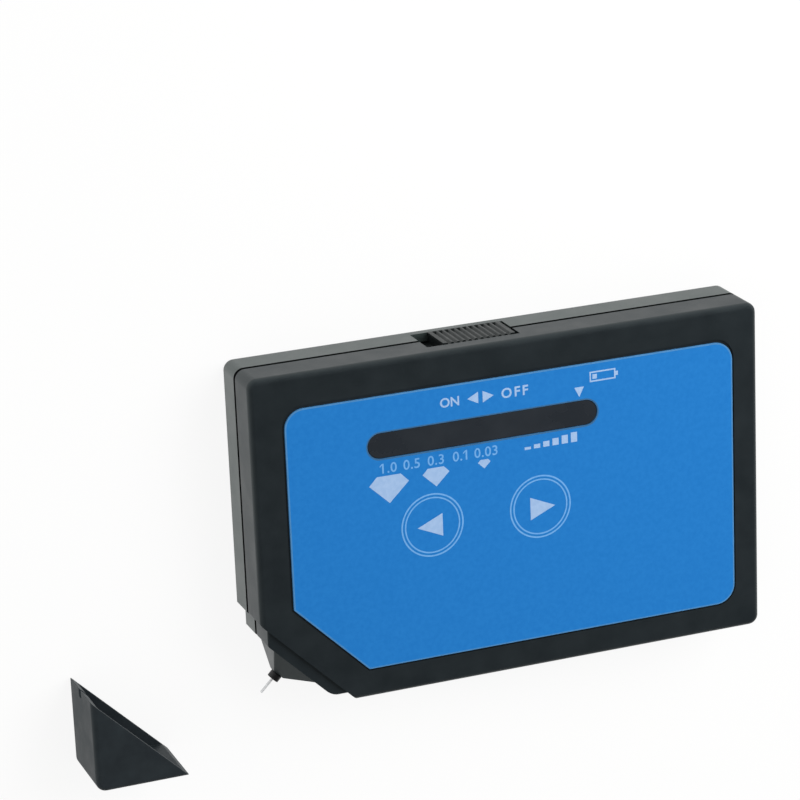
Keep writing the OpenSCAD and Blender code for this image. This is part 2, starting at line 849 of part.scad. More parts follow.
module probe_spring() color("#c9ccd0") {
    at_nose() translate([plug_u + bond_gap, 0, 0]) rotate([0, 90, 0])
        coil(probe_spring_r, probe_spring_r, probe_spring_len - 2 * bond_gap, probe_spring_turns,
            probe_wire_r);
}

module probe_end_plug() color("#d8c9a0") {
    difference() {
        union() {
            along_probe(tube_end_u - eps, plug_u, bore_r - fit_gap);
            along_probe(probe_end_u, tube_end_u, tube_r);
        }
        at_pins() translate([probe_end_u - past, 0, 0]) rotate([0, 90, 0])
            cylinder(h = past + pin_hold, r = pin_r + bond_gap);
    }
}

module at_pins() {
    for (s = [-1, 1]) at_nose() translate([0, s * pin_y, pin_z - probe_z]) children();
}

module probe_pins() color("#d9b45a") {
    at_pins() translate([probe_end_u + pin_hold - pin_len, 0, 0]) rotate([0, 90, 0])
        cylinder(h = pin_len, r = pin_r);
}

// Hollow corner that slips over the nose block, lying beside the case
module probe_cap() color("#26282b") {
    translate([-cap_off_x, -cap_off_y, 0]) difference() {
        intersection() {
            case_slab(0, case_t, rear_edge_r, front_edge_r);
            beyond(cap_gap);
        }
        translate([0, 0, cap_face]) linear_extrude(case_t - 2 * cap_face)
            round_rect(case_w - 2 * cap_wall, case_h - 2 * cap_wall, cap_inner_r);
        at_nose() translate([cap_gap - past, -far, -notch_w / 2]) cube([notch_depth + past, far, notch_w]);
    }
}

// Batteries

// One cell from its flat end, along Y
module cell() {
    rotate([-90, 0, 0]) {
        cylinder(h = cell_len - nub_len, r = cell_r);
        cylinder(h = cell_len, r = nub_r);
    }
}

module at_cells() {
    translate([cell_x_left, 0, cell_z]) children();
    translate([cell_x_right, 0, cell_z]) mirror([0, 1, 0]) children();
}

module battery_cells() color("#c7a24a") {
    at_cells() translate([0, bay_half - contact_t - cell_len, 0]) cell();
}

module battery_springs() color("#c9ccd0") {
    at_cells() translate([0, -bay_half + contact_t, 0]) rotate([-90, 0, 0])
        coil(cell_spring_r, cell_spring_tip_r, cell_spring_len, cell_spring_turns, cell_wire_r);
}

// Two single contacts at the slider end and one bridge across both cells at the other
module battery_plates() color("#c9ccd0") {
    for (x = [cell_x_left, cell_x_right])
        translate([x - contact_w / 2, bay_half - contact_t, cell_z - contact_h / 2])
            cube([contact_w, contact_t, contact_h]);
    translate([cell_x_left - contact_w / 2, -bay_half, cell_z - contact_h / 2])
        cube([cell_pitch + contact_w, contact_t, contact_h]);
}

module battery_door() color("#2c2e31") {
    difference() {
        union() {
            intersection() {
                difference() {
                    case_slab(0, rear_top, rear_edge_r, 0);
                    translate([-far, -far / 2, floor_t]) cube([far + x_right - wall, far, far]);
                }
                door_space(0);
            }
            intersection() {
                door_tongues(0);
                case_slab(0, rear_top, rear_edge_r, 0);
            }
        }
        for (i = [0 : grip_count - 1])
            translate([grip_x + i * grip_pitch, -grip_len / 2, -past])
                cube([grip_w, grip_len, past + grip_depth]);
    }
}

front_shell();
rear_shell();
panel_overlay();
led_window();
led_baffle();
circuit_board();
led_row();
board_parts();
tact_switch_cases();
slide_switch_case();
probe_nose();
probe_collar();
probe_spring();
probe_end_plug();
probe_pins();
battery_cells();
battery_springs();
battery_plates();
case_screws();
board_screws();
power_slider();
slide_switch_lever();
left_key_cap();
left_key_stem();
left_switch_button();
right_key_cap();
right_key_stem();
right_switch_button();
probe_needle();
probe_heater();
battery_door();
probe_cap();
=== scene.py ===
"""Pocket diamond tester in a plain studio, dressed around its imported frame.

The frame gives every place and size that the solids already have. This script softens the moulded edges,
prints the front panel and gives each piece the finish of its real material.
"""

from __future__ import annotations

import json
import logging
import math
from contextlib import contextmanager
from dataclasses import dataclass, field
from enum import Enum
from typing import Any, Iterator, Sequence

import bpy
from mathutils import Matrix, Vector

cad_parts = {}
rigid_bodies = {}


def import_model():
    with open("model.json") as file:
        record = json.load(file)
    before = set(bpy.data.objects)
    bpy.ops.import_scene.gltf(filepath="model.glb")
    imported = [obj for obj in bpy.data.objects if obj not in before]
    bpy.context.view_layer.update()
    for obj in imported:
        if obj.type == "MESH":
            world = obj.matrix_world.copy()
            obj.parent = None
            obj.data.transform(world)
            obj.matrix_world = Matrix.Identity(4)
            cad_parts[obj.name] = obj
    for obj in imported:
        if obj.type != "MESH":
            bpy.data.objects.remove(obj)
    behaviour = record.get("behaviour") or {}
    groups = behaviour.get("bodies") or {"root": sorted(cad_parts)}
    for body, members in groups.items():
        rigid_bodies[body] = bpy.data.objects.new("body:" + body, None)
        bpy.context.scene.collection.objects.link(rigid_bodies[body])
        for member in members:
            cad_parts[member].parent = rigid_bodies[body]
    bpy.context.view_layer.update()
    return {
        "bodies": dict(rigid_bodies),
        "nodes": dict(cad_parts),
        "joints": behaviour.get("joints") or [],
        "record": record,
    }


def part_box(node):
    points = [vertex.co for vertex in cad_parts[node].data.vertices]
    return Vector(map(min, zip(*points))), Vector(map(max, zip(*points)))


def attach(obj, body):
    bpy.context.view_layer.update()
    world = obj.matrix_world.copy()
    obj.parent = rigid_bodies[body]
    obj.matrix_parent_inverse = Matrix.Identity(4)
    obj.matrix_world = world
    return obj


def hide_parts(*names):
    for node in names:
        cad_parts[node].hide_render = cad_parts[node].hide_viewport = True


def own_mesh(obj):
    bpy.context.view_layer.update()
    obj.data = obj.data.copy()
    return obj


LOG = logging.getLogger("diamond_tester")
MM = 0.001
# Vertices this close together count as one
MERGE = 0.001 * MM
# Triangles that meet at less than this make one flat face
FLAT_ANGLE = math.radians(0.6)
# Edges that turn more than this are softened, and stay sharp in the shading
SHARP_ANGLE = math.radians(34)
NORMAL_WEIGHT = 100
EDGE_STEPS = 2
RING_STEPS = 128
LETTER_STEPS = 4
LETTER_DEPTH = 0.5
ROUND_STEPS = 6
# A rounding starts this far outside the faces that it joins, so that its cutter truly crosses them
ROUND_PAST = 0.004 * MM
# Thickness of the printing
INK = 0.02 * MM
# The sRGB curve: a straight foot up to the knee and a power above it
SRGB_KNEE = 0.04045
SRGB_FOOT = 12.92
SRGB_OFFSET = 0.055
SRGB_POWER = 2.4
# Noise of the finishes, with the part of the mottle's range that is spread over the whole
MOTTLE_DETAIL = 4.0
MOTTLE_ROUGHNESS = 0.6
MOTTLE_SPAN = (0.35, 0.65)
GRAIN_DETAIL = 3.0
# Sockets of a mix node, several of which share a name
COLOUR_A = 6
COLOUR_B = 7
COLOUR_OUT = 2
VALUE_A = 2
VALUE_B = 3

Point = tuple[float, float]
Colour = tuple[float, float, float, float]


class Body(Enum):
    """Bodies of the frame that new pieces ride on."""

    CASE = "case"
    SLIDER = "slider"
    LEFT_KEY = "left_key"
    RIGHT_KEY = "right_key"
    DOOR = "door"
    CAP = "cap"


class Slot(Enum):
    """Material slots of the record that new pieces take."""

    CASE_ABS = "case_abs"
    OVERLAY_FILM = "overlay_film"
    SMOKED_WINDOW = "smoked_window"
    BLACK_PLASTIC = "black_plastic"
    PLATED_STEEL = "plated_steel"


def linear(code: str) -> Colour:
    """Turns an sRGB hex colour into the linear colour that a shader takes.

    Args:
        code: Colour as "#RRGGBB".

    Returns:
        Linear red, green, blue and an alpha of 1.
    """
    parts = [int(code[i:i + 2], 16) / 255 for i in (1, 3, 5)]
    values = [c / SRGB_FOOT if c <= SRGB_KNEE else ((c + SRGB_OFFSET) / (1 + SRGB_OFFSET)) ** SRGB_POWER
              for c in parts]
    return (values[0], values[1], values[2], 1.0)


def per_metre(size_mm: float) -> float:
    """Scale of a texture whose features are this many millimetres across."""
    return 1.0 / (size_mm * MM)


def add_node(tree: bpy.types.NodeTree, kind: str, inputs: dict[Any, Any] | None = None,
             **settings: Any) -> Any:
    """Adds one shader node with its settings, values and links.

    Args:
        tree: Node tree that takes the node.
        kind: Node type.
        inputs: Value or output socket for each input, by name or index.
        **settings: Properties of the node.

    Returns:
        The new node.
    """
    node = tree.nodes.new(kind)
    for name, value in settings.items():
        setattr(node, name, value)
    for key, value in (inputs or {}).items():
        if isinstance(value, bpy.types.NodeSocket):
            tree.links.new(value, node.inputs[key])
        else:
            node.inputs[key].default_value = value
    return node


def new_tree(name: str) -> tuple[bpy.types.Material, bpy.types.NodeTree]:
    """Makes an empty node material.

    Args:
        name: Name of the material.

    Returns:
        The material and its node tree.
    """
    material = bpy.data.materials.new(name)
    material.use_nodes = True
    material.node_tree.nodes.clear()
    return material, material.node_tree


def in_mirror(tree: bpy.types.NodeTree, rays: Any) -> Any:
    """Tells rays that come off a shiny piece or through a clear one from the rest.

    Args:
        tree: Node tree of the floor or the room.
        rays: Light path node of the tree.

    Returns:
        Socket that is 1 for such rays and 0 for the others.
    """
    either = add_node(tree, "ShaderNodeMath", {
        0: rays.outputs["Is Glossy Ray"], 1: rays.outputs["Is Transmission Ray"]},
        operation="MAXIMUM")
    return either.outputs[0]


@dataclass(frozen=True)
class Finish:
    """One real material: a base colour with mottle, and a fine surface relief.

    Attributes:
        name: Common name of the material and how its surface was made.
        colour: Base colour in sRGB.
        second: Colour that the mottle leans to.
        mottle_mm: Size of the mottle.
        roughness: Lowest and highest roughness over the mottle.
        grain_mm: Size of the relief.
        grain_height_mm: Height of the relief.
        stretch: Stretch of the relief along each axis, for brushed or drawn metal.
        metallic: 1 for a metal.
        specular: Specular level of a plastic.
        tint: Colour of a plastic's reflection.
        coat: Weight of a clear gloss layer.
    """

    name: str
    colour: str
    second: str
    mottle_mm: float
    roughness: tuple[float, float]
    grain_mm: float
    grain_height_mm: float
    stretch: tuple[float, float, float] = (1.0, 1.0, 1.0)
    metallic: float = 0.0
    specular: float = 0.5
    tint: str = "#FFFFFF"
    coat: float = 0.0

    def base_colour(self, tree: bpy.types.NodeTree, place: Any, mottle: Any) -> Any:
        """Colour over the surface.

        Args:
            tree: Node tree of the material.
            place: Socket with the place on the piece.
            mottle: Socket with the mottle from 0 to 1.

        Returns:
            Socket with the colour.
        """
        mix = add_node(tree, "ShaderNodeMix", {
            0: mottle, COLOUR_A: linear(self.colour), COLOUR_B: linear(self.second)}, data_type="RGBA")
        return mix.outputs[COLOUR_OUT]

    def build(self) -> bpy.types.Material:
        """Makes the material, once for each finish.

        Returns:
            The material.
        """
        found = bpy.data.materials.get(self.name)
        if found:
            return found
        material, tree = new_tree(self.name)
        place = add_node(tree, "ShaderNodeTexCoord").outputs["Object"]
        mottle = add_node(tree, "ShaderNodeTexNoise", {
            "Vector": place, "Scale": per_metre(self.mottle_mm), "Detail": MOTTLE_DETAIL,
            "Roughness": MOTTLE_ROUGHNESS})
        low, high = MOTTLE_SPAN
        spread = add_node(tree, "ShaderNodeMapRange", {
            "Value": mottle.outputs["Fac"], "From Min": low, "From Max": high})
        rough = add_node(tree, "ShaderNodeMapRange", {
            "Value": mottle.outputs["Fac"], "From Min": low, "From Max": high,
            "To Min": self.roughness[0], "To Max": self.roughness[1]})
        along = add_node(tree, "ShaderNodeMapping", {"Vector": place, "Scale": self.stretch})
        grain = add_node(tree, "ShaderNodeTexNoise", {
            "Vector": along.outputs[0], "Scale": per_metre(self.grain_mm), "Detail": GRAIN_DETAIL})
        relief = add_node(tree, "ShaderNodeBump", {
            "Height": grain.outputs["Fac"], "Strength": 1.0, "Distance": self.grain_height_mm * MM})
        colour = self.base_colour(tree, place, spread.outputs[0])
        shader = add_node(tree, "ShaderNodeBsdfPrincipled", {
            "Base Color": colour, "Roughness": rough.outputs[0], "Normal": relief.outputs[0],
            "Metallic": self.metallic, "Coat Weight": self.coat})
        if not self.metallic:
            shader.inputs["Specular IOR Level"].default_value = self.specular
            shader.inputs["Specular Tint"].default_value = linear(self.tint)
        add_node(tree, "ShaderNodeOutputMaterial", {"Surface": shader.outputs[0]})
        return material


@dataclass(frozen=True)
class CellSleeve(Finish):
    """Shrink sleeve of a cell: a dark body with a bright band towards the nub."""

    band: str = "#B9793F"
    band_from_mm: float = 9.0
    middle_x_mm: float = 37.0

    def base_colour(self, tree: bpy.types.NodeTree, place: Any, mottle: Any) -> Any:
        """Sleeve colour, with the band at each cell's own nub end.

        Args:
            tree: Node tree of the material.
            place: Socket with the place on the piece.
            mottle: Socket with the mottle from 0 to 1.

        Returns:
            Socket with the colour.
        """
        plain = super().base_colour(tree, place, mottle)
        axes = add_node(tree, "ShaderNodeSeparateXYZ", {0: place})
        side = add_node(tree, "ShaderNodeMath", {0: axes.outputs[0], 1: -self.middle_x_mm * MM},
                        operation="ADD")
        sign = add_node(tree, "ShaderNodeMath", {0: side.outputs[0]}, operation="SIGN")
        ahead = add_node(tree, "ShaderNodeMath", {0: axes.outputs[1], 1: sign.outputs[0]},
                         operation="MULTIPLY")
        banded = add_node(tree, "ShaderNodeMath", {0: ahead.outputs[0], 1: -self.band_from_mm * MM},
                          operation="LESS_THAN")
        mix = add_node(tree, "ShaderNodeMix", {
            0: banded.outputs[0], COLOUR_A: plain, COLOUR_B: linear(self.band)}, data_type="RGBA")
        return mix.outputs[COLOUR_OUT]


# Black ABS with the fine spark grain of the mould: a soft broad sheen. The grain is drawn coarser than
# the real one, which would not show.
CASE_ABS = Finish("ABS moulded satin black", "#191F23", "#1F2529", 7.0, (0.42, 0.5), 0.42, 0.012,
                  tint="#F0FFFD")
# The rear half is drawn with a finer grain, and its black is painted a shade lighter and greyer: painted
# light that stands in for the white floor's light on the walls near it
REAR_ABS_PAINTED_LIGHT = Finish("ABS moulded fine black painted lighter", "#343C3B", "#3A4342", 7.0, (0.36, 0.44), 0.3, 0.006,
                  specular=0.7, tint="#F2FFFB")
# The cap's grain is the coarsest of the three and takes most of the sheen away
CAP_ABS = Finish("ABS moulded coarse black", "#23282C", "#292F33", 5.0, (0.5, 0.6), 0.5, 0.016,
                 specular=0.24, tint="#F0FFFD")
# The same ABS on the slider, polished a little by the finger
SLIDER_ABS = Finish("ABS moulded ribbed black", "#111516", "#171B1C", 3.0, (0.38, 0.48), 0.4, 0.008,
                    specular=0.36, tint="#F0FFFD")
# The snout is moulded smoother than the case, so its flanks take more light
SNOUT_ABS = Finish("ABS moulded smooth black", "#161B1E", "#1B2124", 4.0, (0.36, 0.44), 0.3, 0.006,
                   specular=0.6, tint="#F0FFFD")
# Painted shade: the parting faces of the two halves are made matt and dead black, standing in for the
# shadow that the front half casts into the gap, so the gap reads as a dark line
SEAM_SHADE_ABS = Finish("ABS parting face painted shade", "#0D1011", "#121516", 3.0, (0.7, 0.8), 0.4, 0.004,
                  specular=0.1)
# Polyester film printed blue behind a velvet texture: flat colour with a fine even sparkle
OVERLAY_FILM = Finish("Polyester film velvet blue", "#1C73BE", "#2178C2", 0.9, (0.46, 0.56), 0.5, 0.01,
                      specular=0.15)
# Rim and cut edge of the film, painted paler: partly the clear core where the print ends, partly a
# painted highlight where light catches the film's edge
FILM_RIM_HIGHLIGHT = Finish("Polyester film rim painted highlight", "#4681B6", "#4C87BB", 2.0, (0.4, 0.5), 0.6, 0.004,
                  specular=0.2)
# Rim of the film at the window, painted less pale where the dark plastic behind it shows through the
# clear core; its paleness is partly a painted highlight
WINDOW_RIM_HIGHLIGHT = Finish("Polyester film rim over smoke painted highlight", "#34648F", "#3A6A95", 2.0, (0.4, 0.5), 0.6, 0.004,
                    specular=0.2)
# Smoked acrylic, moulded with a light matt face
SMOKED = Finish("Acrylic smoked window", "#22272D", "#282D33", 9.0, (0.26, 0.34), 0.7, 0.004)
# Screen ink printed white over the blue, thin enough for some blue to come through
WHITE_INK = Finish("Screen ink white", "#96B4DB", "#A0BCE0", 0.9, (0.45, 0.55), 0.3, 0.004,
                   specular=0.3)
# The same ink in fine strokes, where still more blue comes through
FINE_INK = Finish("Screen ink white fine", "#66A2DC", "#70A9DF", 0.9, (0.45, 0.55), 0.3, 0.004,
                  specular=0.3)
WHITE_ABS = Finish("ABS moulded white", "#E4E4DF", "#DAD9D3", 5.0, (0.4, 0.5), 0.4, 0.006)
BLACK_PBT = Finish("PBT moulded black", "#121314", "#181A1B", 4.0, (0.4, 0.5), 0.35, 0.008)
CREAM_PBT = Finish("PBT moulded cream", "#D3C49C", "#C9B98F", 4.0, (0.42, 0.52), 0.4, 0.008)
LAMINATE = Finish("Glass laminate with green mask", "#1B6436", "#22713F", 3.0, (0.28, 0.36), 0.6, 0.006,
                  coat=0.3)
NICKEL = Finish("Steel nickel plated", "#C4C7CB", "#B4B7BC", 5.0, (0.22, 0.34), 0.3, 0.003,
                stretch=(1.0, 8.0, 1.0), metallic=1.0)
# Ground steel painted almost white: partly its matt pale face, partly a painted reflection of the white
# room, so that it is as pale as the paper round it
NEEDLE_STEEL_PAINTED_PALE = Finish("Steel ground matt painted pale", "#F4F5F6", "#ECEEF0", 3.0, (0.36, 0.44), 0.25, 0.0005,
                      stretch=(6.0, 6.0, 1.0), metallic=0.2)
BRASS = Finish("Brass turned", "#C08A4E", "#B07C44", 3.0, (0.26, 0.36), 0.2, 0.003, metallic=1.0)
SLEEVE = CellSleeve("Cell sleeve printed plain", "#2E3034", "#373A3E", 8.0, (0.24, 0.32), 0.8, 0.004,
                    coat=0.2)

# Finishes of the solids that are shown as they are
CAD_FINISHES: dict[str, Finish] = {
    "led_baffle": WHITE_ABS,
    "circuit_board": LAMINATE,
    "led_row": WHITE_ABS,
    "board_parts": BLACK_PBT,
    "tact_switch_cases": NICKEL,
    "slide_switch_case": NICKEL,
    "probe_end_plug": CREAM_PBT,
    "probe_pins": BRASS,
    "battery_cells": SLEEVE,
    "battery_springs": NICKEL,
    "battery_plates": NICKEL,
    "case_screws": NICKEL,
    "board_screws": NICKEL,
    "slide_switch_lever": WHITE_ABS,
    "left_key_stem": BLACK_PBT,
    "right_key_stem": BLACK_PBT,
    "left_switch_button": BLACK_PBT,
    "right_switch_button": BLACK_PBT,
    # The needle's near-white colour is partly a painted reflection of the white room
    "probe_needle": NEEDLE_STEEL_PAINTED_PALE,
    "probe_heater": BRASS,
}


def clear_selection() -> None:
    """Deselects everything."""
    for other in bpy.context.selected_objects:
        other.select_set(False)


def activate(obj: bpy.types.Object) -> None:
    """Selects one object alone and makes it active."""
    clear_selection()
    obj.select_set(True)
    bpy.context.view_layer.objects.active = obj


@contextmanager
def editing(obj: bpy.types.Object) -> Iterator[None]:
    """Holds an object in edit mode with its whole mesh selected.

    Args:
        obj: Object to edit.

    Yields:
        Nothing.
    """
    activate(obj)
    bpy.ops.object.mode_set(mode="EDIT")
    bpy.ops.mesh.select_all(action="SELECT")
    yield
    bpy.ops.object.mode_set(mode="OBJECT")


def apply_modifier(obj: bpy.types.Object, kind: str, **settings: Any) -> None:
    """Adds a modifier and applies it.

    Args:
        obj: Object to change.
        kind: Modifier type.
        **settings: Properties of the modifier.
    """
    activate(obj)
    modifier = obj.modifiers.new(kind.title(), kind)
    for name, value in settings.items():
        setattr(modifier, name, value)
    bpy.ops.object.modifier_apply(modifier=modifier.name)


def settle(obj: bpy.types.Object, name: str, finish: Finish, body: Body) -> None:
    """Names a new piece, dresses it and lets it ride on its body.

    Args:
        obj: The piece, in place.
        name: Name of the piece.
        finish: Its finish, unless it has materials already.
        body: Body that it moves with.
    """
    obj.name = name
    obj.data.name = name
    if not obj.data.materials:
        obj.data.materials.append(finish.build())
    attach(obj, body.value)
    LOG.info("%s rides on %s", name, body.value)


def merged_copy(node: bpy.types.Object, cutters: Sequence[bpy.types.Object] = ()) -> bpy.types.Object:
    """Copies a solid's mesh with its loose triangles merged into flat faces.

    Args:
        node: CAD node.
        cutters: Pieces to cut away from the copy. They are used up.

    Returns:
        The copy.
    """
    copy = bpy.data.objects.new(node.name + "_copy", node.data.copy())
    bpy.context.scene.collection.objects.link(copy)
    copy.data.materials.clear()
    with editing(copy):
        bpy.ops.mesh.remove_doubles(threshold=MERGE)
        bpy.ops.mesh.dissolve_limited(angle_limit=FLAT_ANGLE)
    for cutter in cutters:
        apply_modifier(copy, "BOOLEAN", object=cutter, operation="DIFFERENCE", solver="EXACT")
        bpy.data.objects.remove(cutter)
    with editing(copy):
        bpy.ops.mesh.remove_doubles(threshold=MERGE)
        bpy.ops.mesh.dissolve_degenerate(threshold=MERGE)
    return copy


def smooth(obj: bpy.types.Object) -> None:
    """Shades the rounded edges smooth and keeps the large faces flat."""
    activate(obj)
    bpy.ops.object.shade_smooth_by_angle(angle=SHARP_ANGLE)
    apply_modifier(obj, "WEIGHTED_NORMAL", weight=NORMAL_WEIGHT, keep_sharp=True)


def softened(node: bpy.types.Object, edge_mm: float,
             cutters: Sequence[bpy.types.Object] = ()) -> bpy.types.Object:
    """Copies a solid and gives its sharp edges the small radius that a mould leaves.

    Args:
        node: CAD node.
        edge_mm: Width of the softened edge.
        cutters: Pieces to cut away first.

    Returns:
        The softened copy.
    """
    copy = merged_copy(node, cutters)
    apply_modifier(copy, "BEVEL", width=edge_mm * MM, segments=EDGE_STEPS, limit_method="ANGLE",
                   angle_limit=SHARP_ANGLE, use_clamp_overlap=True, miter_outer="MITER_ARC")
    smooth(copy)
    return copy


def flat_plate(corners: Sequence[Point], low: float, height: float) -> bpy.types.Object:
    """Makes a flat plate with straight edges.

    Args:
        corners: Corners in turn, in metres.
        low: Height of its underside.
        height: Thickness of the plate.

    Returns:
        The plate.
    """
    clear_selection()
    bpy.ops.mesh.primitive_circle_add(vertices=len(corners), radius=MM, fill_type="NGON")
    plate = bpy.context.object
    for vertex, corner in zip(plate.data.vertices, corners):
        vertex.co = (corner[0], corner[1], low)
    with editing(plate):
        bpy.ops.mesh.extrude_region_move(TRANSFORM_OT_translate={"value": (0, 0, height)})
        bpy.ops.mesh.select_all(action="SELECT")
        bpy.ops.mesh.normals_make_consistent(inside=False)
    return plate


def corner_cutter(corner: Vector, first: Vector, second: Vector, radius: float, low: float,
                  height: float) -> bpy.types.Object:
    """Makes the piece that is missing where an upright edge is rounded.

    Args:
        corner: The sharp corner, seen from above, in metres.
        first: Direction of one face from the corner.
        second: Direction of the other face from the corner.
        radius: Radius of the rounding.
        low: Lower end of the edge.
        height: Length of the edge.

    Returns:
        The cutter, which reaches a little beyond the corner.
    """
    inward = (first + second).normalized()
    half = inward.angle(first)
    reach = radius / math.tan(half)
    centre = corner + inward * (radius / math.sin(half) - ROUND_PAST)
    begin = corner + first * reach - inward * ROUND_PAST
    end = corner + second * reach - inward * ROUND_PAST
    outline = [begin - inward * reach]
    for i in range(ROUND_STEPS + 1):
        spoke = (begin - centre).lerp(end - centre, i / ROUND_STEPS)
        outline.append(centre + spoke.normalized() * radius)
    outline.append(end - inward * reach)
    return flat_plate([tuple(place) for place in outline], low, height)


def ring_plate(centre: Point, inner: float, outer: float, low: float, height: float) -> bpy.types.Object:
    """Makes a thin flat ring.

    Args:
        centre: Middle of the ring, in metres.
        inner: Inner radius.
        outer: Outer radius.
        low: Height of the surface that it lies on.
        height: Thickness of the ring.

    Returns:
        The ring.
    """
    clear_selection()
    middle = (centre[0], centre[1], low)
    bpy.ops.mesh.primitive_circle_add(vertices=RING_STEPS, radius=outer, fill_type="NOTHING",
                                      location=middle)
    ring = bpy.context.object
    bpy.ops.object.transform_apply(location=True, rotation=False, scale=False)
    with editing(ring):
        bpy.ops.mesh.extrude_edges_move()
        share = inner / outer
        bpy.ops.transform.resize(value=(share, share, 1), center_override=middle)
        bpy.ops.mesh.select_all(action="SELECT")
        bpy.ops.mesh.extrude_region_move(TRANSFORM_OT_translate={"value": (0, 0, height)})
        bpy.ops.mesh.select_all(action="SELECT")
        bpy.ops.mesh.normals_make_consistent(inside=False)
    return ring


def text_plate(words: str, centre: Point, tall: float, low: float, height: float, weight: float,
               spacing: float) -> bpy.types.Object:
    """Prints plain figures or letters as a thin plate.

    Args:
        words: What is printed.
        centre: Middle of the print, in metres.
        tall: Height of the letters.
        low: Height of the surface that they lie on.
        height: Thickness of the print.
        weight: Extra stroke width, as a share of the letters' size.
        spacing: Spacing of the letters, 1 being the font's own.

    Returns:
        The print as a mesh.
    """
    clear_selection()
    bpy.ops.object.text_add()
    text = bpy.context.object
    text.data.body = words
    text.data.offset = weight
    text.data.space_character = spacing
    text.data.extrude = LETTER_DEPTH
    text.data.resolution_u = LETTER_STEPS
    activate(text)
    bpy.ops.object.convert(target="MESH")
    lows = [min(v.co[k] for v in text.data.vertices) for k in range(3)]
    highs = [max(v.co[k] for v in text.data.vertices) for k in range(3)]
    share = tall / (highs[1] - lows[1])
    middle = [(lows[k] + highs[k]) / 2 for k in range(3)]
    text.scale = (share, share, height / (highs[2] - lows[2]))
    text.location = (centre[0] - middle[0] * share, centre[1] - middle[1] * share, low + height / 2)
    bpy.ops.object.transform_apply(location=True, rotation=True, scale=True)
    with editing(text):
        bpy.ops.mesh.remove_doubles(threshold=MERGE)
    return text


@dataclass
class Case:
    """Black mouldings: the two shells, the nose, its collar and cap, and the battery door.

    Pairs of radii are for the upper and the lower end of the cut corner.
    """

    nodes: dict[str, bpy.types.Object]
    edge_mm: float = 0.1
    cap_edge_mm: float = 0.14
    nose_edge_mm: float = 0.12
    collar_edge_mm: float = 0.12
    seam_mm: float = 0.9
    seam_edge_mm: float = 0.06
    cut_leg_mm: float = 17.75
    cut_round_mm: tuple[float, float] = (1.3, 2.0)
    block_out_mm: float = 2.2
    block_in_mm: float = 1.37
    block_round_mm: tuple[float, float] = (0.6, 4.2)
    past_mm: float = 1.0

    def build(self) -> None:
        """Puts a softened copy in the place of each moulded piece."""
        front = self.mould("front_shell", "shell_front", self.edge_mm, Body.CASE, CASE_ABS,
                           self.rounds())
        rear = self.mould("rear_shell", "shell_rear", self.edge_mm, Body.CASE, REAR_ABS_PAINTED_LIGHT)
        front_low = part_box("front_shell")[0].z
        # Faces in the gap between the two halves get a dead black finish as painted shade
        self.part(front, -math.inf, front_low + self.seam_edge_mm * MM)
        self.part(rear, front_low - (self.seam_mm + self.seam_edge_mm) * MM, math.inf)
        self.mould("probe_nose", "nose_snout", self.nose_edge_mm, Body.CASE, SNOUT_ABS)
        # The door takes the rear half's black, painted lighter for the floor's light
        self.mould("battery_door", "door_cover", self.edge_mm, Body.DOOR, REAR_ABS_PAINTED_LIGHT)
        self.mould("probe_cap", "cap_shell", self.cap_edge_mm, Body.CAP, CAP_ABS)
        collar = softened(self.nodes["probe_collar"], self.collar_edge_mm)
        settle(collar, "nose_collar", BLACK_PBT, Body.CASE)
        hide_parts("probe_collar")

    def mould(self, node: str, name: str, edge_mm: float, body: Body, finish: Finish,
              cutters: Sequence[bpy.types.Object] = ()) -> bpy.types.Object:
        """Softens one black moulding.

        Args:
            node: CAD node that it stands for.
            name: Name of the piece.
            edge_mm: Width of its softened edges.
            body: Body that it moves with.
            finish: Its finish.
            cutters: Pieces to cut away from it first.

        Returns:
            The moulding.
        """
        piece = softened(self.nodes[node], edge_mm, cutters)
        settle(piece, name, finish, body)
        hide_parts(node)
        return piece

    def rounds(self) -> list[bpy.types.Object]:
        """Rounds the front half's upright edges at its cut corner and at the ends of its nose block.

        The lower end of each, where the case is gripped, is rounder than the upper one.

        Returns:
            A cutter for each edge.
        """
        low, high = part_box("front_shell")
        start = low.z - self.past_mm * MM
        height = high.z - low.z + 2 * self.past_mm * MM
        across, along = Vector((1.0, 0.0)), Vector((0.0, 1.0))
        slant = (across - along).normalized()
        cutters = []
        for out, inset, radii in ((0.0, 0.0, self.cut_round_mm),
                                  (self.block_out_mm, self.block_in_mm, self.block_round_mm)):
            reach = self.cut_leg_mm - out * math.sqrt(2) - inset
            upper = Vector((low.x + inset * MM, low.y + reach * MM))
            lower = Vector((low.x + reach * MM, low.y + inset * MM))
            cutters.append(corner_cutter(upper, along, slant, radii[0] * MM, start, height))
            cutters.append(corner_cutter(lower, across, -slant, radii[1] * MM, start, height))
        return cutters

    def part(self, shell: bpy.types.Object, low: float, high: float) -> None:
        """Paints shade onto the faces of a shell that lie in the gap towards the other shell, as a dead
        black finish.

        Args:
            shell: The shell.
            low: Height that they are above.
            high: Height that they are below.
        """
        shell.data.materials.append(SEAM_SHADE_ABS.build())
        for face in shell.data.polygons:
            if low < face.center.z < high:
                face.material_index = 1


@dataclass
class Slider:
    """Ribbed power slider in its recess."""

    nodes: dict[str, bpy.types.Object]
    edge_mm: float = 0.09

    def build(self) -> None:
        """Softens the ribs and the ends of the slider."""
        piece = softened(self.nodes["power_slider"], self.edge_mm)
        settle(piece, "slider_grip", SLIDER_ABS, Body.SLIDER)
        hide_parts("power_slider")


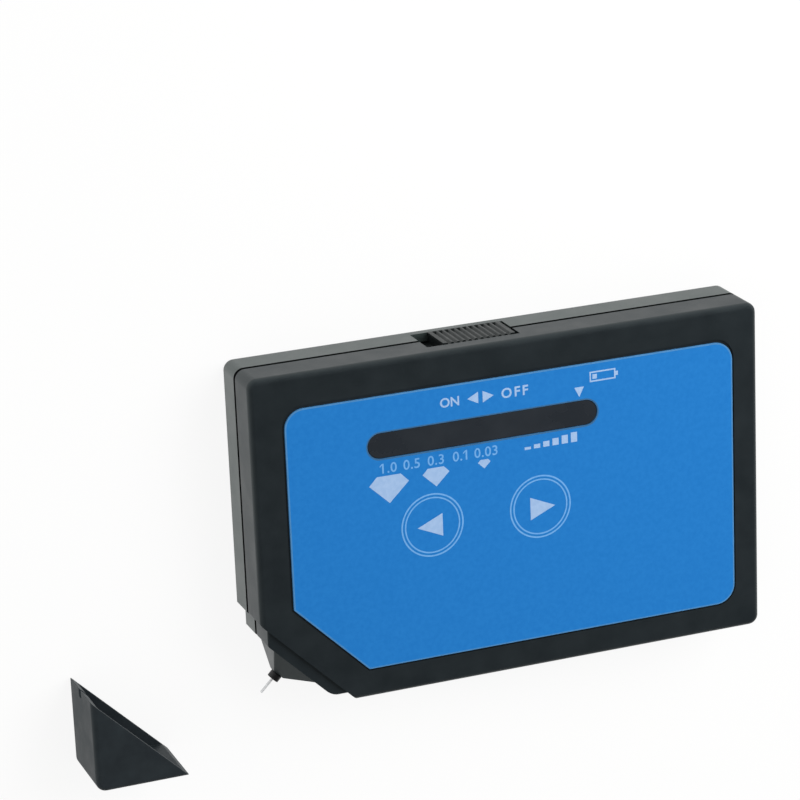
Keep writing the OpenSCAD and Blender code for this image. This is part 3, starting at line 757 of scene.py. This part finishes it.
@dataclass
class Panel:
    """Printed overlay with its window.

    Places are in millimetres from the middle of the overlay, and the parts of a stone are shares of its
    width. The trim is for the left, right, bottom and top sides.
    """

    nodes: dict[str, bpy.types.Object]
    edge_mm: float = 0.1
    rim_mm: float = 0.2
    trim_mm: tuple[float, float, float, float] = (0.23, 0.1, 0.1, 0.38)
    trim_band_mm: float = 3.8
    window_edge_mm: float = 0.12
    window_near_mm: float = 0.8
    figure_y: float = 12.15
    figure_tall: float = 1.9
    figure_spacing: float = 1.07
    stroke: float = 0.33
    flag_size: tuple[float, float, float] = (0.45, 0.42, 0.28)
    figures: tuple[tuple[str, float], ...] = (
        ("1.0", -24.6), ("0.5", -20.3), ("0.3", -15.6), ("0.1", -10.85), ("0.03", -5.75))
    gem_top: float = 10.7
    gem_girdle: float = 0.21
    gem_culet: float = 0.69
    gem_table: float = 0.3
    gems: tuple[tuple[float, float], ...] = ((-24.8, 7.7), (-15.65, 5.25), (-6.15, 2.5))
    switch_y: float = 22.73
    switch_words: tuple[tuple[str, float, float, float], ...] = (
        ("ON", -12.5, 1.82, 1.0), ("OFF", 0.3, 1.95, 1.28))
    arrow_tips: tuple[float, float] = (-9.05, -3.87)
    arrow_bases: tuple[float, float] = (-6.9, -6.03)
    arrow_half: float = 1.12
    mark_x: float = 13.05
    mark_top: float = 21.6
    mark_tip: float = 19.7
    mark_half: float = 0.95
    cell_sign: tuple[float, float] = (15.2, 23.2)
    cell_sign_size: tuple[float, float] = (5.2, 2.0)
    cell_line: float = 0.28
    cell_nub: float = 0.5
    cell_nub_span: tuple[float, float] = (0.3, 0.7)
    cell_level: float = 0.9
    bars_x: float = 1.9
    bars_low: float = 11.2
    bar_w: float = 1.25
    bar_pitch: float = 1.85
    bar_count: int = 6
    bar_tall: tuple[float, float] = (0.5, 1.9)
    text_weight: float = 0.012
    bold_weight: float = 0.022
    middle: Vector = field(init=False)
    top: float = field(init=False)

    def __post_init__(self) -> None:
        """Reads the overlay's middle and its top from the frame."""
        low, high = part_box("panel_overlay")
        self.middle = (low + high) / 2
        self.top = high.z

    def at(self, x_mm: float, y_mm: float) -> Point:
        """Place on the panel in metres."""
        return (self.middle.x + x_mm * MM, self.middle.y + y_mm * MM)

    def build(self) -> None:
        """Builds the film, the window and all the printing."""
        self.film()
        window = softened(self.nodes["led_window"], self.window_edge_mm)
        settle(window, "light_window", SMOKED, Body.CASE)
        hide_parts("led_window")
        self.scale_print()
        self.switch_print()
        self.battery_print()

    def film(self) -> None:
        """Softens the film and gives a narrow rim of its face and its cut edges a paler colour: partly
        the unprinted core, partly a painted highlight along the edge.
        """
        film = softened(self.nodes["panel_overlay"], self.edge_mm)
        self.trim(film)
        coats = (OVERLAY_FILM, FILM_RIM_HIGHLIGHT, WINDOW_RIM_HIGHLIGHT)
        for coat in coats:
            film.data.materials.append(coat.build())
        with editing(film):
            bpy.ops.mesh.select_all(action="DESELECT")
        for vertex in film.data.vertices:
            vertex.select = vertex.co.z > self.top - MERGE
        bpy.ops.object.mode_set(mode="EDIT")
        bpy.ops.mesh.inset(thickness=self.rim_mm * MM)
        bpy.ops.object.mode_set(mode="OBJECT")
        # The rim faces take the paler colours, which paint a highlight along the film's edge
        for face in film.data.polygons:
            rim = WINDOW_RIM_HIGHLIGHT if self.by_window(face.center) else FILM_RIM_HIGHLIGHT
            face.material_index = coats.index(OVERLAY_FILM if face.select else rim)
        smooth(film)
        settle(film, "panel_film", OVERLAY_FILM, Body.CASE)
        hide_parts("panel_overlay")

    def by_window(self, place: Vector) -> bool:
        """Tells whether a place of the film lies at the rim of its window."""
        low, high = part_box("led_window")
        near = self.window_near_mm * MM
        across = low.x - near < place.x < high.x + near
        return across and low.y - near < place.y < high.y + near

    def trim(self, film: bpy.types.Object) -> None:
        """Draws the film's sides in, so that the floor of its recess shows round it as a dark line."""
        low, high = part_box("panel_overlay")
        band = self.trim_band_mm * MM
        left, right, bottom, top = (side * MM for side in self.trim_mm)
        for vertex in film.data.vertices:
            place = vertex.co
            if place.x < low.x + band:
                place.x += left
            elif place.x > high.x - band:
                place.x -= right
            if place.y < low.y + band:
                place.y += bottom
            elif place.y > high.y - band:
                place.y -= top

    def ink(self, piece: bpy.types.Object, name: str, finish: Finish = WHITE_INK) -> None:
        """Dresses one printed sign of the panel."""
        settle(piece, name, finish, Body.CASE)

    def sign(self, name: str, corners: Sequence[Point], finish: Finish = WHITE_INK) -> None:
        """Prints one straight-edged sign.

        Args:
            name: Name of the piece.
            corners: Corners in turn, in millimetres on the panel.
            finish: The ink.
        """
        places = [self.at(x, y) for x, y in corners]
        self.ink(flat_plate(places, self.top, INK), name, finish)

    def figure(self, words: str, x: float) -> None:
        """Prints one stone size, with a flag on a figure one, which the font draws as a bare stroke.

        Args:
            words: The size.
            x: Middle of the print along the panel.
        """
        name = "print_size_" + words.replace(".", "_")
        piece = text_plate(words, self.at(x, self.figure_y), self.figure_tall * MM, self.top, INK,
                           self.text_weight, self.figure_spacing)
        self.ink(piece, name, FINE_INK)
        if "1" not in words:
            return
        reach = [(v.co.x - self.middle.x) / MM for v in piece.data.vertices]
        left = min(reach) if words.startswith("1") else max(reach) - self.stroke
        top = self.figure_y + self.figure_tall / 2
        wide, fall, thick = self.flag_size
        far = left - wide
        corners = [(left, top), (far, top - fall), (far, top - fall - thick), (left, top - thick)]
        self.sign(name + "_flag", corners, FINE_INK)

    def scale_print(self) -> None:
        """Prints the stone sizes, their stones and the reading bars under the window."""
        for words, x in self.figures:
            self.figure(words, x)
        for i, (x, wide) in enumerate(self.gems):
            self.sign(f"print_stone_{i + 1}", self.gem(x, wide))
        for i in range(self.bar_count):
            left = self.bars_x + i * self.bar_pitch
            share = i / (self.bar_count - 1)
            top = self.bars_low + self.bar_tall[0] + share * (self.bar_tall[1] - self.bar_tall[0])
            right = left + self.bar_w
            corners = [(left, self.bars_low), (right, self.bars_low), (right, top), (left, top)]
            self.sign(f"print_bar_{i + 1}", corners)

    def gem(self, x: float, wide: float) -> list[Point]:
        """Corners of a cut stone seen from the side.

        Args:
            x: Middle of the stone along the panel.
            wide: Width of the stone.

        Returns:
            Corners from the left girdle point, in turn.
        """
        girdle = self.gem_top - self.gem_girdle * wide
        culet = self.gem_top - self.gem_culet * wide
        table = self.gem_table * wide
        return [(x - wide / 2, girdle), (x, culet), (x + wide / 2, girdle), (x + table, self.gem_top),
                (x - table, self.gem_top)]

    def switch_print(self) -> None:
        """Prints the slider's two positions and the arrows between them."""
        for words, x, tall, spacing in self.switch_words:
            piece = text_plate(words, self.at(x, self.switch_y), tall * MM, self.top, INK,
                               self.bold_weight, spacing)
            self.ink(piece, "print_" + words.lower())
        for name, tip, base in zip(("left", "right"), self.arrow_tips, self.arrow_bases):
            self.sign(f"print_arrow_{name}", [
                (tip, self.switch_y), (base, self.switch_y - self.arrow_half),
                (base, self.switch_y + self.arrow_half)])

    def battery_print(self) -> None:
        """Prints the mark over the window's last light and a plain sign of an almost empty cell."""
        self.sign("print_cell_mark", [
            (self.mark_x - self.mark_half, self.mark_top), (self.mark_x, self.mark_tip),
            (self.mark_x + self.mark_half, self.mark_top)])
        x, y = self.cell_sign
        wide, tall = self.cell_sign_size
        nub_low, nub_high = (tall * share for share in self.cell_nub_span)
        low = y - tall / 2
        line = self.cell_line
        for name, x0, y0, x1, y1 in (
                ("low", 0, 0, wide, line), ("high", 0, tall - line, wide, tall),
                ("left", 0, line, line, tall - line), ("right", wide - line, line, wide, tall - line),
                ("nub", wide, nub_low, wide + self.cell_nub, nub_high),
                ("level", 2 * line, 2 * line, 2 * line + self.cell_level, tall - 2 * line)):
            self.sign(f"print_cell_{name}", [
                (x + x0, low + y0), (x + x1, low + y0), (x + x1, low + y1), (x + x0, low + y1)])


@dataclass
class Keys:
    """The two ringed keys of the film. Sizes of the printing are in millimetres from a key's middle."""

    nodes: dict[str, bpy.types.Object]
    edge_mm: float = 0.04
    inner_line: tuple[float, float] = (5.155, 5.43)
    outer_line: tuple[float, float] = (5.81, 6.11)
    bead: tuple[float, float] = (5.435, 5.805)
    bead_mm: float = 0.03
    bead_clear_mm: float = 0.004
    tip: float = 2.95
    base: float = 2.0
    half: float = 2.2
    drop: float = 0.2

    def build(self) -> None:
        """Builds both keys."""
        self.key("left", Body.LEFT_KEY, -1)
        self.key("right", Body.RIGHT_KEY, 1)

    def key(self, side: str, body: Body, way: int) -> None:
        """Builds one key with its rings, its raised bead and its arrow.

        Args:
            side: Side of the panel that it is on.
            body: Body that it moves with.
            way: -1 where its arrow points left, 1 where it points right.
        """
        node = f"{side}_key_cap"
        low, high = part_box(node)
        centre = ((low.x + high.x) / 2, (low.y + high.y) / 2)
        top = high.z
        face = softened(self.nodes[node], self.edge_mm)
        settle(face, f"{side}_key_face", OVERLAY_FILM, body)
        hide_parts(node)
        bead_low = top + self.bead_clear_mm * MM
        for part, radii, ring_low, height, finish, rides_on in (
                ("inner_line", self.inner_line, top, INK, FINE_INK, body),
                ("outer_line", self.outer_line, top, INK, FINE_INK, Body.CASE),
                ("bead", self.bead, bead_low, self.bead_mm * MM, OVERLAY_FILM, Body.CASE)):
            ring = ring_plate(centre, radii[0] * MM, radii[1] * MM, ring_low, height)
            settle(ring, f"{side}_key_{part}", finish, rides_on)
        y = centre[1] - self.drop * MM
        tip = centre[0] + way * self.tip * MM
        base = centre[0] - way * self.base * MM
        half = way * self.half * MM
        arrow = flat_plate([(tip, y), (base, y + half), (base, y - half)], top, INK)
        settle(arrow, f"{side}_key_arrow", WHITE_INK, body)


@dataclass
class ProbeSpring:
    """Spring behind the needle, which shortens as the needle goes in; the copy keeps the length that it
    has at rest.
    """

    frame: dict[str, Any]
    joint: str = "probe_plunge"

    def build(self) -> None:
        """Copies the coil, which rides on the case."""
        node = self.frame["nodes"]["probe_spring"]
        spring = merged_copy(node)
        settle(spring, "probe_coil", NICKEL, Body.CASE)
        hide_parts("probe_spring")
        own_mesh(spring)


@dataclass(frozen=True)
class Lamp:
    """Soft box that faces the object and is not mirrored in it.

    Attributes:
        name: Name of the lamp.
        place: Place of the lamp in metres.
        size: Edge of the soft box in metres.
        power: Power in watts.
    """

    name: str
    place: tuple[float, float, float]
    size: float
    power: float

    def build(self) -> None:
        """Adds the lamp."""
        data = bpy.data.lights.new("lamp_" + self.name, "AREA")
        data.size = self.size
        data.energy = self.power
        lamp = bpy.data.objects.new("lamp_" + self.name, data)
        lamp.location = self.place
        lamp.visible_glossy = False
        lamp.rotation_euler = Vector(self.place).to_track_quat("Z", "Y").to_euler()
        bpy.context.scene.collection.objects.link(lamp)


@dataclass
class Studio:
    """Pale floor, soft light and the camera at the photograph's viewing angle.

    The spans are of the height and of the depth of a direction, over which its reflected light changes.
    """

    camera_mm: tuple[float, float, float] = (-225.5, 217.8, 564.1)
    right: tuple[float, float, float] = (0.9321050, -0.0403511, 0.3599334)
    up: tuple[float, float, float] = (0.1486830, 0.9488078, -0.2786702)
    back: tuple[float, float, float] = (-0.3302630, 0.3132659, 0.8903880)
    lens_mm: float = 154.76
    sensor_mm: float = 36.0
    lamps: tuple[Lamp, ...] = (
        Lamp("key", (0.24, 0.22, 0.34), 0.4, 1.9), Lamp("fill", (-0.9, 0.2, 0.8), 1.2, 2.5))
    paper: str = "#F4F4F2"
    floor_m: float = 6.0
    floor_drop_mm: float = 0.05
    sky: float = 0.5
    zenith: float = 0.16
    zenith_span: tuple[float, float] = (0.15, 0.75)
    dim_side: float = 0.25
    dim_span: tuple[float, float] = (-0.9, 0.2)
    shown_white: float = 0.88

    def build(self) -> None:
        """Sets up the floor, the world, the lamps and the camera."""
        bpy.context.scene.view_settings.view_transform = "Standard"
        self.floor()
        self.world()
        for lamp in self.lamps:
            lamp.build()
        self.camera()

    def floor(self) -> None:
        """Lays a white floor that keeps a soft shadow."""
        clear_selection()
        bpy.ops.mesh.primitive_plane_add(size=self.floor_m, location=(0, 0, -self.floor_drop_mm * MM))
        floor = bpy.context.object
        floor.name = "studio_floor"
        material, tree = new_tree("Paper sweep white")
        rays = add_node(tree, "ShaderNodeLightPath")
        shown = add_node(tree, "ShaderNodeMath", {0: rays.outputs["Is Camera Ray"], 1: self.shown_white},
                         operation="MULTIPLY")
        share = add_node(tree, "ShaderNodeMath", {0: shown.outputs[0], 1: in_mirror(tree, rays)},
                         operation="MAXIMUM")
        paper = add_node(tree, "ShaderNodeBsdfDiffuse", {"Color": linear(self.paper)})
        white = add_node(tree, "ShaderNodeEmission", {"Strength": 1.0})
        mix = add_node(tree, "ShaderNodeMixShader", {
            0: share.outputs[0], 1: paper.outputs[0], 2: white.outputs[0]})
        add_node(tree, "ShaderNodeOutputMaterial", {"Surface": mix.outputs[0]})
        floor.data.materials.append(material)

    def world(self) -> None:
        """Fills the room with even light.

        Reflections find it white behind the object, calm overhead and dim where the probe points.
        """
        world = bpy.data.worlds.new("Studio room")
        world.use_nodes = True
        tree = world.node_tree
        tree.nodes.clear()
        rays = add_node(tree, "ShaderNodeLightPath")
        way = add_node(tree, "ShaderNodeTexCoord")
        axes = add_node(tree, "ShaderNodeSeparateXYZ", {0: way.outputs["Generated"]})
        fade = add_node(tree, "ShaderNodeMapRange", {
            "Value": axes.outputs[2], "From Min": self.zenith_span[0], "From Max": self.zenith_span[1],
            "To Min": 1.0, "To Max": self.zenith})
        side = add_node(tree, "ShaderNodeMapRange", {
            "Value": axes.outputs[1], "From Min": self.dim_span[0], "From Max": self.dim_span[1],
            "To Min": self.dim_side, "To Max": 1.0})
        room_light = add_node(tree, "ShaderNodeMath", {0: fade.outputs[0], 1: side.outputs[0]},
                              operation="MULTIPLY")
        light = add_node(tree, "ShaderNodeMix", {
            0: in_mirror(tree, rays), VALUE_A: self.sky, VALUE_B: room_light.outputs[0]})
        seen = add_node(tree, "ShaderNodeMix", {
            0: rays.outputs["Is Camera Ray"], VALUE_A: light.outputs[0], VALUE_B: 1.0})
        room = add_node(tree, "ShaderNodeBackground", {
            "Color": (1, 1, 1, 1), "Strength": seen.outputs[0]})
        add_node(tree, "ShaderNodeOutputWorld", {"Surface": room.outputs[0]})
        bpy.context.scene.world = world

    def camera(self) -> None:
        """Places the camera."""
        data = bpy.data.cameras.new("camera")
        data.sensor_width = self.sensor_mm
        data.lens = self.lens_mm
        camera = bpy.data.objects.new("camera", data)
        axes = Matrix((self.right, self.up, self.back)).transposed().to_4x4()
        camera.matrix_world = Matrix.Translation(Vector(self.camera_mm) * MM) @ axes
        bpy.context.scene.collection.objects.link(camera)
        bpy.context.scene.camera = camera


def main() -> None:
    """Builds the studio and dresses every piece of the tester."""
    logging.basicConfig(level=logging.INFO, format="%(message)s")
    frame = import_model()
    nodes = frame["nodes"]
    Studio().build()
    for name, finish in CAD_FINISHES.items():
        nodes[name].data.materials.clear()
        nodes[name].data.materials.append(finish.build())
    Case(nodes).build()
    Slider(nodes).build()
    Panel(nodes).build()
    Keys(nodes).build()
    ProbeSpring(frame).build()


if __name__ == "__main__":
    main()
